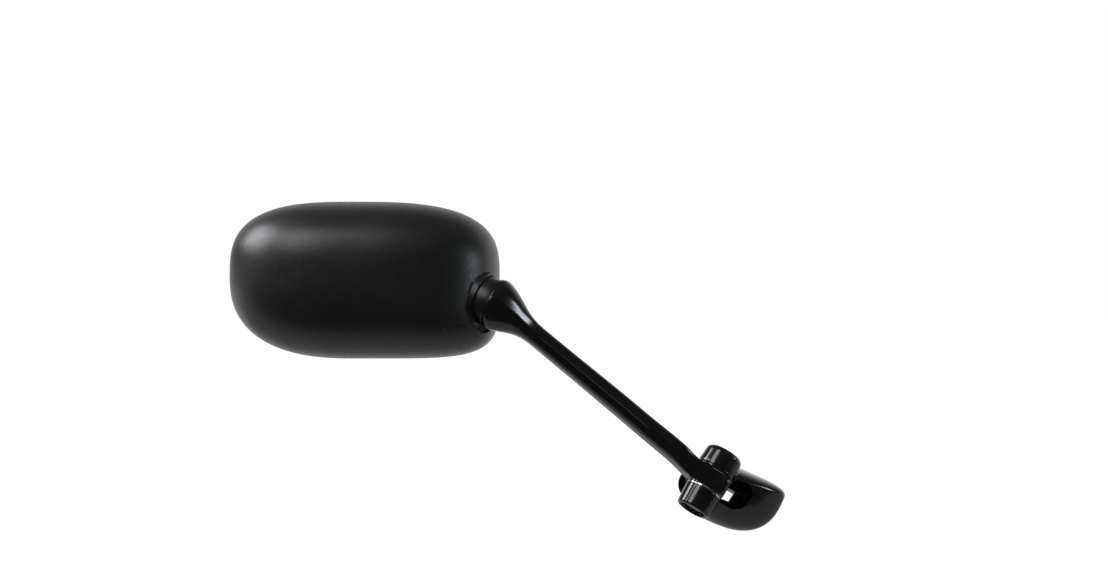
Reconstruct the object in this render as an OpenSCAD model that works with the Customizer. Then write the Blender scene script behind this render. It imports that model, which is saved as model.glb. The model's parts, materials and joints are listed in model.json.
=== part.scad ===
// Folding motorcycle mirror for the right-hand side of a fairing.
// Millimetres. +X is to the viewer's right as one faces the bike, +Y is rearwards into the fairing, +Z is up.
// The origin is midway between the two mounting screws, on the face that seats on the fairing.

/* [Mirror head] */
// Reach of the head's outline from its centre towards the arm
head_right = 94.4; // [85:0.5:100]
// Reach of the head's outline from its centre away from the arm
head_left = 80.4; // [70:0.5:95]
// Reach of the head's outline above its centre
head_up = 48; // [42:0.5:56]
// Reach of the head's outline below its centre
head_down = 54; // [48:0.5:60]
// Depth of the housing from its rim to the crown of its back
head_depth = 66; // [62:0.5:72]
// Squareness of the outline's corners: upper right, upper left, lower left, lower right
head_squareness = [3, 2.95, 2.5, 5.2];
// Squareness of the housing's back in section
crown_squareness = 2.8; // [2.6:0.1:3.2]
// Wall thickness of the moulded housing
housing_wall = 2.8; // [2.2:0.1:3.2]
// Thickness of the mirror glass
glass_t = 2; // [1.8:0.1:3]
// Radius of the convex glass
glass_radius = 1200; // [900:50:1600]
// Width of the rim left bare round the glass
rim_w = 4.6; // [4.2:0.1:7]
// Thickness of the adhesive pad behind the glass
pad_t = 0.8; // [0.5:0.1:1.2]
// Thickness of the backing plate
plate_t = 2.5; // [2.2:0.1:3.2]

/* [Neck joint] */
// Place of the head outline's centre from the pivot ball, along X and Z
head_offset = [-83.5, 14.8];
// How far the pivot ball's centre lies in front of the middle of the housing's depth there
ball_lead = 12.8; // [12:0.1:13.5]
// How far the neck points below level
neck_fall = 20.9; // [18:0.5:24]
// How far the neck points forwards
neck_turn = 19.3; // [16:0.5:22]
// Radius of the pivot ball
ball_r = 11; // [10:0.25:11.5]
// Thickness of the nylon seats round the ball
seat_t = 1.6; // [1.2:0.1:1.8]
// Outer radius of the neck sleeve
sleeve_r = 15.5; // [15.2:0.1:17]
// Distance from the ball's centre to the edge where sleeve and arm meet
neck_gap_at = 9; // [8:0.25:10]
// Radius of the ball stud's shank
stud_r = 4; // [3.5:0.25:4.5]
// Wall of the housing's collar round the sleeve
collar_wall = 1.8; // [1.6:0.1:2.4]
// How far the collar reaches past the ball's centre towards the arm
collar_front = 0.7; // [0:0.1:1.5]

/* [Arm] */
// Straight distance from the fold pivot to the neck edge
arm_reach = 186; // [170:1:200]
// Rise of the arm towards the head
arm_rise = 38.7; // [36:0.1:42]
// Forward lean of the arm towards the head
arm_turn = 15.5; // [12:0.5:18]
// Thickness of the arm's bar
bar_t = 13.4; // [12:0.2:15]
// Depth of the arm's bar, front to back
bar_depth = 16; // [14:0.5:18]
// Height of the ridge along the front of the arm
ridge_h = 1.3; // [0.5:0.1:2]
// Greatest radius of the flare at the neck
flare_r = 17.2; // [16.8:0.1:18.5]
// Length of the flare
flare_len = 36; // [30:1:42]
// Radius of the hub round the fold pivot
hub_r = 12.3; // [11.5:0.1:13]
// Radius of the hub's squared front corner
hub_corner_r = 5; // [3:0.5:6]
// Height of the hub's upper face above the pivot's centre
hub_top = 6; // [5.5:0.1:6.4]
// Depth of the hub's lower face below the pivot's centre
hub_bottom = 6.6; // [6:0.1:7]

/* [Fold pivot] */
// Place of the fold pivot's centre from the origin, along X, Y and Z
pivot_at = [-10.5, -26, 9];
// Sideways lean of the fold axis from upright
axis_side_lean = 32; // [30:0.5:34]
// Rearward lean of the fold axis from upright
axis_back_lean = 15; // [13:0.5:17]
// Radius of the pivot bolt
bolt_r = 4; // [3:0.25:5]
// Width of the pivot bolt's head across its flats
bolt_head_af = 13; // [12:0.5:14]
// Thickness of the pivot bolt's head
bolt_head_t = 3.6; // [3:0.1:4]
// Thickness of the bright thrust washer under the hub
thrust_washer_t = 1.35; // [1:0.05:1.5]
// Number of disc springs under the pivot
spring_discs = 3; // [2:1:3]
// Thickness of one disc spring
disc_t = 0.6; // [0.4:0.05:0.7]
// Free cone height of one disc spring
disc_cone = 0.6; // [0.3:0.05:0.7]
// Wall of the pressed-in hub bush
hub_bush_wall = 2; // [1.5:0.1:2.5]

/* [Base] */
// Radius of the lower pivot boss at its inner face
boss_r = 12.4; // [12:0.1:13.5]
// Radius of the upper pivot boss at its inner face
upper_boss_r = 13.5; // [12.5:0.1:14.5]
// Draft of the pivot bosses
boss_draft = 3.5; // [1:0.5:5]
// Height of the upper boss's closed end above the pivot's centre
boss_top = 22; // [18:0.1:23]
// Depth of the lower boss's open end below the pivot's centre
boss_bottom = 22.4; // [20.5:0.1:24]
// Radius of the open pocket in the lower boss
pocket_r = 9.75; // [9:0.05:10.5]
// Thickness of the lower boss's floor
boss_floor_t = 2.5; // [2:0.1:3]
// Spacing of the two mounting screw holes
mount_spacing = 38; // [35:0.5:43]
// Slope of the line through the mounting holes
mount_slope = 16; // [13:0.5:21]
// Tapped hole radius for the M6 mounting screws
mount_hole_r = 2.5; // [2:0.1:3]
// Depth of the tapped mounting holes
mount_hole_depth = 8; // [7:0.5:8.5]
// Radius of the flange round each mounting hole
flange_r = 11.5; // [10:0.5:13]
// Thickness of the mounting flange
flange_t = 5; // [4:0.25:6]
// Height of the hood's front above the mounting face, at the pivot
hood_depth = 34; // [31:0.5:36]
// Height of the hood's front above the mounting face, at its far end
hood_end_depth = 15; // [13:0.5:18]
// Wall thickness of the hood
hood_wall = 3; // [2.5:0.1:4]
// Downward slope of the hood
hood_slope = 24; // [21:0.5:27]
// Reach of the hood's outline from its centre: right, left, up, down
hood_reach = [38.4, 24, 9.2, 31.7];
// Centre of the hood's outline from the pivot, along the hood and across it
hood_centre = [14, 6];
// Squareness of the hood's corners: upper right, upper left, lower left, lower right
hood_squareness = [4.6, 4, 3.1, 2.5];
// Corners of the casting's see-through opening, in X and Z
opening_corners = [[-6, 6.1], [8.1, 0.9], [3.4, -6.2], [-6, -2.5]];

/* [Fits] */
// Clearance where one piece turns in another
running_gap = 0.05; // [0.03:0.01:0.08]
// Clearance round the ball and its seats
ball_gap = 0.15; // [0.1:0.01:0.2]
// Clearance between pieces that are assembled and stay put
seat_gap = 0.05; // [0.02:0.01:0.1]
// Gap at the neck edge between sleeve and arm
neck_gap = 0.3; // [0.2:0.05:0.6]

/* [Hidden] */
$fn = 72;
eps = 0.01;
// Gap between faces that touch
touch = 0.02;
// Longer than any hole or cut has to be
through = 40;

function lerp(a, b, t) = a + (b - a) * t;
function clamp01(t) = min(1, max(0, t));
function smooth(t) = let(c = clamp01(t)) c * c * (3 - 2 * c);
function unit(v) = v / norm(v);
function signed_power(v, p) = sign(v) * pow(abs(v), p);

// Directions: the neck, the arm and the fold axis
neck_dir = [cos(neck_fall) * cos(neck_turn), -cos(neck_fall) * sin(neck_turn), -sin(neck_fall)];
arm_dir = [-cos(arm_rise) * cos(arm_turn), -cos(arm_rise) * sin(arm_turn), sin(arm_rise)];
fold_axis = [cos(axis_back_lean) * sin(axis_side_lean), sin(axis_back_lean),
    cos(axis_back_lean) * cos(axis_side_lean)];
hub_dir = [-cos(axis_side_lean), 0, sin(axis_side_lean)];

neck_edge = pivot_at + arm_reach * arm_dir;
ball_at = neck_edge - neck_gap_at * neck_dir;

head_reach = [head_right, head_left, head_up, head_down];
head_points = 64;

// How far the housing's outer face stands in front of its rim, at a place from the outline's centre
function dome_depth(x, z) =
    let(side = x >= 0 ? 0 : 1)
    let(p = z >= 0 ? head_squareness[side] : head_squareness[3 - side])
    let(k = pow(pow(abs(x) / head_reach[side], p) + pow(abs(z) / head_reach[z >= 0 ? 2 : 3], p), 1 / p))
    head_depth * pow(1 - pow(k, crown_squareness), 1 / crown_squareness);

head_at = ball_at
    + [head_offset[0], dome_depth(-head_offset[0], -head_offset[1]) / 2 + ball_lead, head_offset[1]];

// Radii round the ball, from the inside out
seat_in_r = ball_r + ball_gap;
seat_out_r = seat_in_r + seat_t;
socket_r = seat_out_r + ball_gap;
sleeve_end_r = norm([sleeve_r, neck_gap_at]);
cup_r = sleeve_end_r + neck_gap;
sleeve_fit = 0.15;
collar_in_r = sleeve_r + sleeve_fit;
collar_r = collar_in_r + collar_wall;

// Places along the neck axis, from the ball's centre; minus is towards the head
collar_back = -14;
boss_ring_wall = 2.8;
boss_ring_r = collar_r + boss_ring_wall;
boss_ring_l = 20;
sleeve_flange_t = 2.5;
sleeve_back = collar_back - sleeve_flange_t;
cap_t = 1.2;
cap_crown_at = -26;
rear_seat_back = -13.6;
rear_seat_front = -2.2;
spring_wire_r = 0.9;
spring_turns = 3.5;
spring_play = 2.4;
spring_mean_r = socket_r - cap_t - spring_play - spring_wire_r;
screw_circle_r = (collar_in_r + boss_ring_r) / 2;
screw_r = 1.4;
screw_clear = 0.2;
screw_head_r = 2.8;
head_clear = 0.3;
pilot_play = 0.4;
cap_screw_l = 7.6;
cap_screw_head = 1.6;
cap_screw_seat = sleeve_back - seat_gap - cap_t - touch;
seal_l = 1.6;
seal_wall = 0.9;
seal_r = collar_in_r + seal_wall;
stud_collar_t = 1.6;
stud_collar_af = 12;
stud_collar_r = stud_collar_af / 2 / cos(30);
stud_grip = 5.5;
stud_seat_at = sleeve_end_r + stud_collar_t;
stud_end_at = stud_seat_at + stud_grip;

// Layers behind the glass, as radii from the glass's centre of curvature
glass_in_r = glass_radius - glass_t;
pad_out_r = glass_in_r - seat_gap;
pad_in_r = pad_out_r - pad_t;
plate_out_r = pad_in_r - seat_gap;
plate_in_r = plate_out_r - plate_t;
glass_crown_y = -0.5;
plate_post_x = [-45, 35];
plate_post_z = [-29, 28];
post_r = 4;
plate_play = 0.3;
glass_play = 0.15;
pad_inset = 1.4;
layer_block = 25;
layer_front = 5;
head_sink = 1.5;
backing_screw_l = 8;
post_pilot_at = -20;

// Places along the fold axis, from the pivot's centre
upper_room = 0.8;
ear_top = hub_top + upper_room;
thrust_at = -hub_bottom - touch - thrust_washer_t;
ear_bottom = thrust_at - touch;
floor_bottom = ear_bottom - boss_floor_t;
bush_flange_t = 1.2;
bush_wall = 2.1;
bush_in_r = bolt_r + running_gap;
bush_neck_r = bush_in_r + bush_wall;
disc_step = disc_t + disc_cone;
spring_top = floor_bottom - bush_flange_t - 2 * touch;
disc_pitch = disc_step + touch;
spring_bottom = spring_top - spring_discs * disc_pitch;
flat_washer_t = 1;
head_top = spring_bottom - flat_washer_t - 3 * touch;
pocket_play = 0.45;
bolt_grip = 8;
hub_corner_x = hub_r - hub_corner_r;
hub_clear = 2.3;
swing_r = norm([hub_corner_x, hub_corner_x]) + hub_corner_r + hub_clear;
hub_back = 2.5;
mount_boss_wall = 4.5;
mount_boss_floor = 1.5;
upper_boss_rim = 3.5;
lower_boss_rim = 1.4;
hood_points = 48;

// The arm: half its bar, and how far its line stands above the pivot's centre
half_bar = bar_t / 2;
thin_bar = half_bar - 0.4;
bar_offset = 1.2;

// The flare leaves the neck edge along the neck's axis and bends back to the arm's line
bow_len = flare_len - 6;
lip_len = 3.4;
lip_draw = 0.7;
bow_dir = unit(neck_dir - (neck_dir * arm_dir) * arm_dir);
bow_slope = (neck_dir * bow_dir) / (-neck_dir * arm_dir);

// The flare's radius at distance q from the neck edge
function flare_at(q) =
    q < lip_len ? flare_r - lip_draw * pow((lip_len - q) / lip_len, 2)
    : lerp(thin_bar, flare_r, pow(1 - clamp01((q - lip_len) / flare_len), 1.6));

// Room in the housing for the arm's lip: two points of the lip, turned about the ball
lip_turn = 14;
lip_clear = 0.6;
lip_wall = 1.6;
lip_sweep = [for (q = [0, lip_len])
    let(x = flare_at(q) + lip_clear, z = neck_gap_at + q - lip_clear)
    [x * cos(lip_turn) + z * sin(lip_turn), z * cos(lip_turn) - x * sin(lip_turn)]];

module in_pivot() {
    translate(pivot_at)
        rotate([-axis_back_lean, axis_side_lean, 0])
            children();
}

module in_neck() {
    translate(ball_at)
        rotate([0, 90 + neck_fall, -neck_turn])
            children();
}

module in_head() {
    translate(head_at)
        children();
}

module in_hood() {
    translate([pivot_at[0], 0, pivot_at[2]])
        rotate([0, hood_slope, 0])
            children();
}

// Turns a drawing in the XY plane to face rearwards, its extrusion running forwards from the mounting face
module facing_front() {
    rotate([90, 0, 0])
        children();
}

// One point of a rounded outline at angle a. reach is right, left, up, down; square is for each corner
function outline_point(a, reach, square) =
    let(c = cos(a), s = sin(a))
    let(p = s >= 0 ? (c >= 0 ? square[0] : square[1]) : (c >= 0 ? square[3] : square[2]))
    [(c >= 0 ? reach[0] : reach[1]) * signed_power(c, 2 / p),
        (s >= 0 ? reach[2] : reach[3]) * signed_power(s, 2 / p)];

function outline(reach, square, count) =
    [for (i = [0 : count - 1]) outline_point(360 * i / count, reach, square)];

function inset_reach(reach, d) = [for (r = reach) r - d];

// Triangles between equal rings of points, with a fan to one extra point at each end
function skin_faces(rings, count) = concat(
    [for (i = [0 : rings - 2], j = [0 : count - 1])
        let(a = i * count + j, b = i * count + (j + 1) % count)
        each [[a, b, a + count], [b, b + count, a + count]]],
    [for (j = [0 : count - 1]) [rings * count, (j + 1) % count, j]],
    [for (j = [0 : count - 1])
        let(last = (rings - 1) * count)
        [last + j, last + (j + 1) % count, rings * count + 1]]);

module skin(rings, first_tip, last_tip) {
    count = len(rings[0]);
    polyhedron(points = concat([for (r = rings) each r], [first_tip, last_tip]),
        faces = skin_faces(len(rings), count), convexity = 6);
}

// A ring of a domed shell: the outline shrunk to k and placed at a depth
function dome_ring(reach, square, k, y, count) =
    [for (p = outline(reach, square, count)) [p[0] * k, y, p[1] * k]];

// The dome's rings from its crown to just short of its rim
function dome_rings(reach, square, depth, crown, rows, count) =
    [for (i = [rows : -1 : 1])
        let(b = 90 * i / (rows + 0.6))
        dome_ring(reach, square, pow(cos(b), 2 / crown), -depth * pow(sin(b), 2 / crown), count)];

module head_plate_outline(inset) {
    polygon(outline(inset_reach(head_reach, inset), head_squareness, head_points));
}

// Y of a sphere of radius r that shares the glass's centre of curvature, at x, z
function glass_y(r, x, z) = glass_crown_y - glass_radius + sqrt(r * r - x * x - z * z);

// The cap of a sphere that shares the glass's centre of curvature, reaching past the whole outline
module glass_cap(r) {
    cap_h = 20;
    cap_r = 130;
    translate([0, glass_crown_y - glass_radius, 0])
        rotate([-90, 0, 0])
            rotate_extrude()
                intersection() {
                    circle(r = r, $fn = 256);
                    translate([0, r - cap_h])
                        square([cap_r, cap_h]);
                }
}

// A slice of the head between two spheres, cut to the outline
module lens_layer(inset, inner_r, outer_r) {
    difference() {
        intersection() {
            translate([0, layer_front, 0])
                facing_front()
                    linear_extrude(layer_block)
                        head_plate_outline(inset);
            glass_cap(outer_r);
        }
        glass_cap(inner_r);
    }
}

module post_places() {
    for (x = plate_post_x, z = plate_post_z)
        translate([x, 0, z])
            children();
}

// The housing's wall, one closed skin from the outer crown over the rim to the inner crown
module housing_wall_skin() {
    inner_reach = inset_reach(head_reach, housing_wall);
    rim = [[0, -6], [0, -1.2], [0.4, -0.3], [1.2, 0], [housing_wall - 0.8, 0], [housing_wall, -0.8]];
    rings = concat(
        dome_rings(head_reach, head_squareness, head_depth, crown_squareness, 13, head_points),
        [for (r = rim) dome_ring(inset_reach(head_reach, r[0]), head_squareness, 1, r[1], head_points)],
        [for (i = [0 : 8])
            let(b = lerp(4, 84, i / 8))
            dome_ring(inner_reach, head_squareness, pow(cos(b), 2 / crown_squareness),
                -(head_depth - housing_wall) * pow(sin(b), 2 / crown_squareness), head_points)]);
    skin(rings, [0, -head_depth, 0], [0, -(head_depth - housing_wall), 0]);
}

// The solid inside the housing's outer face, inset by d
module housing_core(d) {
    reach = inset_reach(head_reach, d);
    rings = concat(
        dome_rings(reach, head_squareness, head_depth - d, crown_squareness, 13, head_points),
        [dome_ring(reach, head_squareness, 1, -1, head_points)]);
    skin(rings, [0, d - head_depth, 0], [0, -1, 0]);
}

// The four posts that the backing plate is screwed to, from behind the glass into the wall
module plate_posts() {
    for (x = plate_post_x, z = plate_post_z)
        let(post_end = glass_y(plate_in_r, x + sign(x) * post_r, z + sign(z) * post_r) - seat_gap)
            translate([x, -head_depth, z])
                rotate([-90, 0, 0])
                    cylinder(r = post_r, h = head_depth + post_end);
}

// The room in front of the collar that the arm's lip sweeps when the head turns on its ball
module lip_room() {
    rotate_extrude()
        polygon([[0, lip_sweep[0][1]], lip_sweep[0], lip_sweep[1], [lip_sweep[1][0], through], [0, through]]);
}

module housing_shell() {
    color([0.03, 0.03, 0.032])
        difference() {
            union() {
                in_head()
                    housing_wall_skin();
                intersection() {
                    in_head()
                        housing_core(housing_wall / 2);
                    union() {
                        in_head()
                            plate_posts();
                        in_neck()
                            translate([0, 0, collar_back])
                                cylinder(r = boss_ring_r, h = boss_ring_l);
                        in_neck()
                            translate([0, 0, lip_sweep[0][1] - lip_wall - boss_ring_l / 2])
                                cylinder(r = lip_sweep[1][0] + lip_wall, h = boss_ring_l);
                    }
                }
                in_neck()
                    translate([0, 0, collar_back])
                        cylinder(r = collar_r, h = collar_front - collar_back);
            }
            in_neck()
                translate([0, 0, collar_back - 1])
                    cylinder(r = collar_in_r, h = through);
            in_neck()
                lip_room();
            in_neck()
                translate([0, 0, collar_front - seal_l])
                    cylinder(r = seal_r, h = seal_l + 1);
            in_neck()
                screw_places()
                    translate([0, 0, cap_screw_seat])
                        cylinder(r = screw_r, h = cap_screw_l + pilot_play);
            in_head()
                post_places()
                    translate([0, post_pilot_at, 0])
                        rotate([-90, 0, 0])
                            cylinder(r = screw_r, h = through);
        }
}

module neck_seal() {
    color([0.05, 0.05, 0.05])
        in_neck()
            translate([0, 0, collar_front - seal_l + touch])
                difference() {
                    cylinder(r = seal_r - touch, h = seal_l);
                    translate([0, 0, -1])
                        cylinder(r = sleeve_r + seat_gap, h = seal_l + 2);
                }
}

module mirror_glass() {
    color([0.75, 0.8, 0.85])
        in_head()
            lens_layer(rim_w, glass_in_r, glass_radius);
}

module adhesive_pad() {
    color([0.15, 0.15, 0.15])
        in_head()
            lens_layer(rim_w + pad_inset, pad_in_r, pad_out_r);
}

// The room that the ball joint's flange, cap and screws take behind the backing plate
module joint_room() {
    joint_l = sleeve_flange_t + cap_t + cap_screw_head + 2 * head_clear;
    translate(-head_at)
        in_neck()
            translate([0, 0, cap_screw_seat - cap_screw_head - head_clear])
                cylinder(r = boss_ring_r + plate_play, h = joint_l);
}

module backing_plate() {
    lip_h = 0.3;
    color([0.08, 0.08, 0.08])
        in_head()
            difference() {
                lens_layer(housing_wall + plate_play, plate_in_r, glass_radius + lip_h);
                lens_layer(rim_w - glass_play, plate_out_r, glass_radius + 2);
                post_places()
                    translate([0, post_pilot_at, 0])
                        rotate([-90, 0, 0])
                            cylinder(r = screw_r + screw_clear, h = through);
                for (x = plate_post_x, z = plate_post_z)
                    translate([x, glass_y(plate_out_r, x, z) - head_sink, z])
                        rotate([-90, 0, 0])
                            cylinder(r = screw_head_r + head_clear, h = layer_front);
                joint_room();
            }
}

// A small pan-head screw with its head's seat at z = 0, its shank downwards
module small_screw(length, head_h) {
    cylinder(r = screw_head_r, h = head_h);
    translate([0, 0, -length])
        cylinder(r = screw_r - seat_gap, h = length + eps);
}

module backing_screws() {
    color([0.7, 0.7, 0.68])
        in_head()
            for (x = plate_post_x, z = plate_post_z)
                translate([x, glass_y(plate_out_r, x, z) - head_sink + touch, z])
                    rotate([-90, 0, 0])
                        small_screw(backing_screw_l, 1.3);
}

module screw_places() {
    for (a = [30 : 120 : 270])
        rotate([0, 0, a])
            translate([screw_circle_r, 0, 0])
                children();
}

module neck_sleeve() {
    opening = 40;
    color([0.04, 0.04, 0.042])
        in_neck()
            difference() {
                union() {
                    intersection() {
                        translate([0, 0, sleeve_back])
                            cylinder(r = sleeve_r, h = through);
                        union() {
                            sphere(r = sleeve_end_r);
                            translate([0, 0, sleeve_back])
                                cylinder(r = sleeve_r + 1, h = -sleeve_back);
                        }
                    }
                    translate([0, 0, sleeve_back])
                        cylinder(r = boss_ring_r, h = sleeve_flange_t - seat_gap);
                }
                sphere(r = socket_r);
                translate([0, 0, sleeve_back - 1])
                    cylinder(r = socket_r, h = -sleeve_back + 1);
                cylinder(r1 = 0, r2 = through * tan(opening), h = through);
                screw_places()
                    translate([0, 0, sleeve_back - 1])
                        cylinder(r = screw_r + screw_clear, h = sleeve_flange_t + 2);
            }
}

// A ring between two spheres round the ball, between two angles from the neck axis
module ball_zone(inner_r, outer_r, from, to) {
    steps = 10;
    rotate_extrude()
        intersection() {
            difference() {
                circle(r = outer_r);
                circle(r = inner_r);
            }
            polygon(concat([[0, 0]],
                [for (i = [0 : steps])
                    let(a = lerp(from, to, i / steps))
                    [through * sin(a), through * cos(a)]]));
        }
}

module front_seat() {
    color([0.85, 0.85, 0.8])
        in_neck()
            ball_zone(seat_in_r, seat_out_r, 42, 80);
}

module rear_seat() {
    color([0.85, 0.85, 0.8])
        in_neck()
            difference() {
                translate([0, 0, rear_seat_back])
                    cylinder(r = seat_out_r, h = rear_seat_front - rear_seat_back);
                sphere(r = seat_in_r);
            }
}

// A helical spring of round wire along Z from z = 0, n turns, with its ends laid flat
module coil_spring(mean_r, wire_r, turns, length) {
    per_turn = 18;
    sides = 8;
    dead = 1;
    count = floor(turns * per_turn);
    rise = length - 2 * wire_r;
    function height(t) = wire_r + rise * smooth((t * turns - dead / 2) / (turns - dead));
    rings = [for (i = [0 : count])
        let(t = i / count, a = 360 * turns * t)
        [for (j = [0 : sides - 1])
            let(b = -360 * j / sides, r = mean_r + wire_r * cos(b))
            [r * cos(a), r * sin(a), height(t) + wire_r * sin(b)]]];
    last_a = 360 * turns;
    skin(rings, [mean_r, 0, wire_r], [mean_r * cos(last_a), mean_r * sin(last_a), length - wire_r]);
}

module seat_spring() {
    color([0.7, 0.7, 0.72])
        in_neck()
            translate([0, 0, cap_crown_at + seat_gap])
                coil_spring(spring_mean_r, spring_wire_r, spring_turns,
                    rear_seat_back - cap_crown_at - 2 * seat_gap);
}

module spring_cap() {
    color([0.6, 0.6, 0.6])
        in_neck()
            difference() {
                union() {
                    translate([0, 0, sleeve_back - seat_gap - cap_t])
                        cylinder(r = boss_ring_r, h = cap_t);
                    translate([0, 0, cap_crown_at - cap_t])
                        cylinder(r = socket_r, h = sleeve_back - cap_crown_at);
                }
                translate([0, 0, cap_crown_at])
                    cylinder(r = socket_r - cap_t, h = through);
                screw_places()
                    translate([0, 0, sleeve_back - through / 2])
                        cylinder(r = screw_r + screw_clear, h = through);
            }
}

module cap_screws() {
    color([0.7, 0.7, 0.68])
        in_neck()
            screw_places()
                translate([0, 0, cap_screw_seat])
                    mirror([0, 0, 1])
                        small_screw(cap_screw_l, cap_screw_head);
}

module ball_stud() {
    color([0.55, 0.55, 0.56])
        in_neck() {
            sphere(r = ball_r);
            cylinder(r = stud_r, h = stud_end_at);
            translate([0, 0, stud_seat_at - stud_collar_t])
                cylinder(r = stud_collar_r, h = stud_collar_t, $fn = 6);
        }
}

// A section of the arm: top and bottom halves of its thickness, front and back depths, corner radius, ridge
function arm_section(up, down, front, back, r, ridge) =
    let(arc = 6)
    let(corners = [[up - r, back - r, 0], [up - r, -front + r, 270], [-down + r, -front + r, 180],
        [-down + r, back - r, 90]])
    [for (k = [0 : 3])
        let(c = corners[k])
        each concat(
            [for (i = [0 : arc])
                let(a = c[2] + 90 - 90 * i / arc)
                [c[0] + r * cos(a), c[1] + r * sin(a)]],
            [k == 0 ? [up, (back - front) / 2]
                : k == 1 ? [(up - down) / 2 - 1, -front - ridge]
                : k == 2 ? [-down, (back - front) / 2] : [(up - down) / 2, back]])];

// Key sections of the arm: distance from the pivot, top, bottom, front, back, corner radius, ridge height
arm_keys = [
    [12, hub_top, hub_bottom, hub_r - 0.4, hub_back, 1, 0],
    [20, half_bar, half_bar, hub_r - 0.8, hub_back, 2.2, 0.2],
    [36, half_bar, half_bar, bar_depth / 2 + 2.5, bar_depth / 2 - 2.5, 4, 0.8],
    [62, half_bar, half_bar, bar_depth / 2, bar_depth / 2, 4.8, ridge_h],
    [arm_reach - flare_len - 10, thin_bar, thin_bar, bar_depth / 2 - 0.6, bar_depth / 2 - 0.6, 4.8, ridge_h]];

function key_at(s, i = 0) =
    s <= arm_keys[0][0] ? arm_keys[0]
    : i >= len(arm_keys) - 1 ? arm_keys[len(arm_keys) - 1]
    : s <= arm_keys[i + 1][0]
        ? lerp(arm_keys[i], arm_keys[i + 1],
            smooth((s - arm_keys[i][0]) / (arm_keys[i + 1][0] - arm_keys[i][0])))
        : key_at(s, i + 1);

function arm_ring(s) =
    let(q = arm_reach - s)
    let(key = key_at(s))
    let(f = flare_at(q), grow = smooth((flare_len + 6 - q) / (flare_len - 4)))
    let(up = max(key[1], lerp(key[1], f, grow)), down = max(key[2], lerp(key[2], f, grow)))
    let(front = lerp(key[3], f, grow), back = lerp(key[4], f, grow))
    let(r = lerp(key[5], min(up, front) - 0.02, smooth((flare_len + 4 - q) / flare_len)))
    let(ridge = lerp(key[6], 0.15, smooth((flare_len - q) / (flare_len - 2))))
    let(section = arm_section(up, down, front, back, r, ridge))
    let(along = lerp(hub_dir, arm_dir, smooth((s - 14) / 26)))
    let(facing = unit(lerp(unit(along), -neck_dir, smooth((flare_len + 4 - q) / (flare_len + 4)))))
    let(up_dir = unit(fold_axis - (fold_axis * facing) * facing))
    let(back_dir = cross(facing, up_dir))
    let(hub_line = pivot_at + s * hub_dir)
    let(lift = bar_offset * smooth(q / 30) * smooth((s - 20) / 60))
    let(bow = bow_slope * q * pow(1 - clamp01(q / bow_len), 2))
    let(bar_line = pivot_at + s * arm_dir + lift * up_dir + bow * bow_dir)
    let(centre = lerp(hub_line, bar_line, smooth((s - 6) / 26)))
    [for (p = section) centre + p[0] * up_dir + p[1] * back_dir];

module arm_skin() {
    stations = concat([12, 15, 18, 21, 25, 29, 33, 38, 43, 49, 56, 62, 80, 100, 120],
        [for (q = [44, 38, 33, 29, 25.5, 22.5, 19.5, 16.5, 13.5, 10.5, 7.5, 5, 2.6, 1.2, 0]) arm_reach - q]);
    rings = [for (s = stations) arm_ring(s)];
    first = pivot_at + stations[0] * hub_dir;
    skin(rings, first, neck_edge);
}

module hub_block() {
    block_end = -14.2;
    in_pivot()
        translate([0, 0, -hub_bottom])
            linear_extrude(hub_top + hub_bottom) {
                circle(r = hub_r);
                translate([hub_corner_x, -hub_corner_x])
                    circle(r = hub_corner_r);
                translate([block_end, -hub_r])
                    square([hub_corner_x - block_end, hub_r]);
                translate([0, -hub_corner_x])
                    square([hub_r, hub_corner_x]);
                translate([block_end, -1])
                    square([-block_end, hub_back + 0.9]);
            }
}

module arm() {
    color([0.02, 0.02, 0.022])
        difference() {
            union() {
                arm_skin();
                hub_block();
            }
            in_pivot()
                translate([0, 0, -through])
                    cylinder(r = bush_in_r + hub_bush_wall + touch, h = 2 * through);
            in_neck()
                sphere(r = cup_r);
            in_neck()
                translate([0, 0, stud_seat_at - 5])
                    cylinder(r = stud_collar_r + 0.6, h = 5);
            in_neck()
                translate([0, 0, 5])
                    cylinder(r = stud_r + touch, h = stud_end_at - 4);
        }
}

module hub_bush() {
    color([0.75, 0.6, 0.35])
        in_pivot()
            translate([0, 0, -hub_bottom])
                difference() {
                    cylinder(r = bush_in_r + hub_bush_wall, h = hub_top + hub_bottom);
                    translate([0, 0, -1])
                        cylinder(r = bush_in_r, h = through);
                }
}

module pierced_disc(outer_r, inner_r, t) {
    difference() {
        cylinder(r = outer_r, h = t);
        translate([0, 0, -1])
            cylinder(r = inner_r, h = t + 2);
    }
}

module upper_washer() {
    color([0.9, 0.9, 0.86])
        in_pivot()
            translate([0, 0, hub_top + touch])
                pierced_disc(hub_r - 2, bolt_r + 0.15, upper_room - 2 * touch);
}

module thrust_washer() {
    color([0.85, 0.86, 0.88])
        in_pivot()
            translate([0, 0, thrust_at])
                pierced_disc(hub_r, bolt_r + 0.15, thrust_washer_t);
}

// How far the hood's front stands off the mounting face at a distance along the hood
function hood_front(x, depth, end_depth) =
    lerp(depth, end_depth, clamp01(x / (hood_reach[0] + hood_centre[0])));

module hood_dome(inset, extra) {
    reach = inset_reach(hood_reach, inset);
    crown = 2.6;
    rows = 9;
    rings = [for (i = [rows : -1 : 0])
        let(b = 90 * i / (rows + 0.6))
        let(k = pow(cos(b), 2 / crown), depth = pow(sin(b), 2 / crown))
        [for (p = outline(reach, hood_squareness, hood_points))
            let(x = hood_centre[0] + p[0] * k)
            [x, i == 0 ? extra : -(hood_front(x, hood_depth, hood_end_depth) - inset) * depth,
                hood_centre[1] + p[1] * k]]];
    crown_tip = [hood_centre[0], -(hood_front(hood_centre[0], hood_depth, hood_end_depth) - inset),
        hood_centre[1]];
    in_hood()
        skin(rings, crown_tip, [hood_centre[0], extra, hood_centre[1]]);
}

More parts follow.
